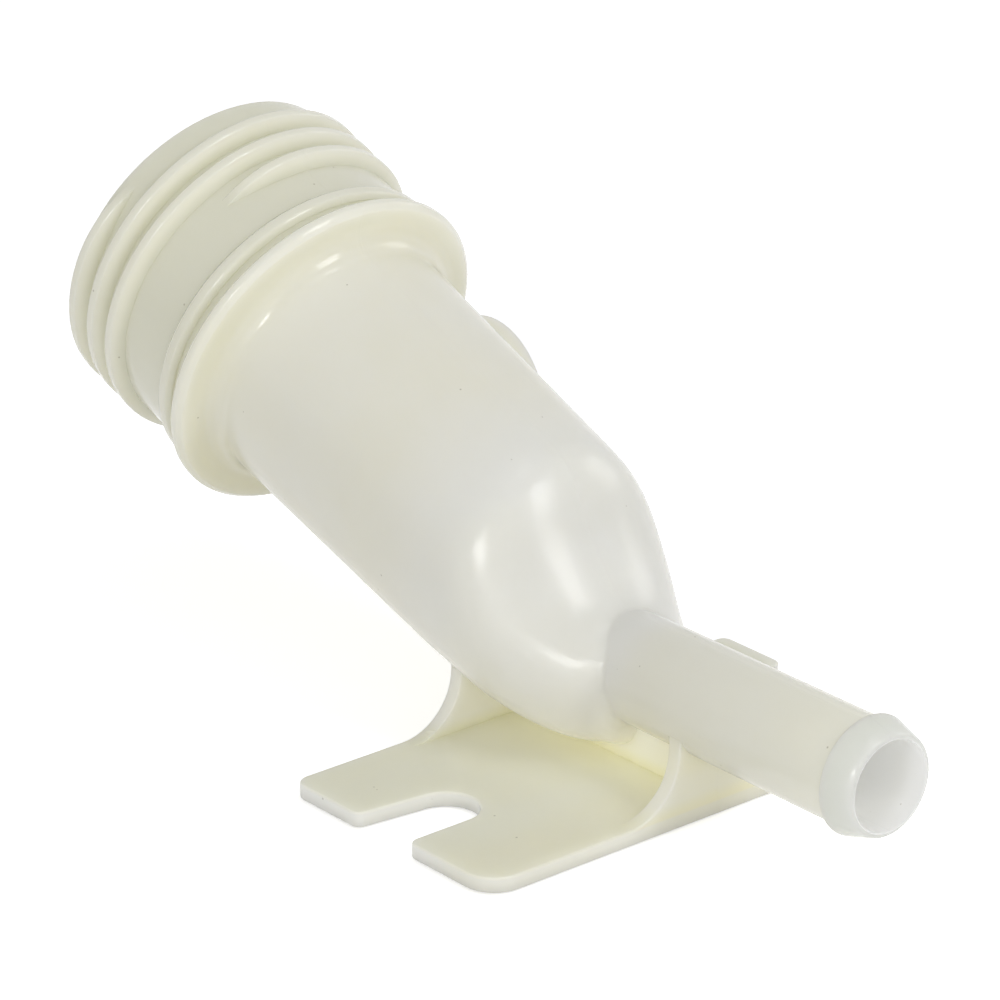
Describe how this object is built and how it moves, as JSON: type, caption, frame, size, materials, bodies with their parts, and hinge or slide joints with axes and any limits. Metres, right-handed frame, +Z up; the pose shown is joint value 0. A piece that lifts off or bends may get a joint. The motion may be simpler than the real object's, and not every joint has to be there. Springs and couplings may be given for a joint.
{
  "type": "filler spout",
  "caption": "One-piece plastic filler spout: wide screw-threaded neck, tapered tube, rounded reducer, barbed hose tail and a slotted mounting foot.",
  "frame": {"origin": "on the underside of the foot plate, straight below the point where the tube axis and the hose tail axis cross", "axes": "+X along the hose tail towards its tip, +Z up off the foot, y = 0 is the mould's parting plane and the slot opens towards -Y"},
  "size_m": [0.2017, 0.102, 0.0982],
  "materials": {
    "natural_plastic": "natural translucent polypropylene, satin gloss"
  },
  "bodies": {
    "root": {"filler_spout": "natural_plastic"}
  },
  "joints": []
}
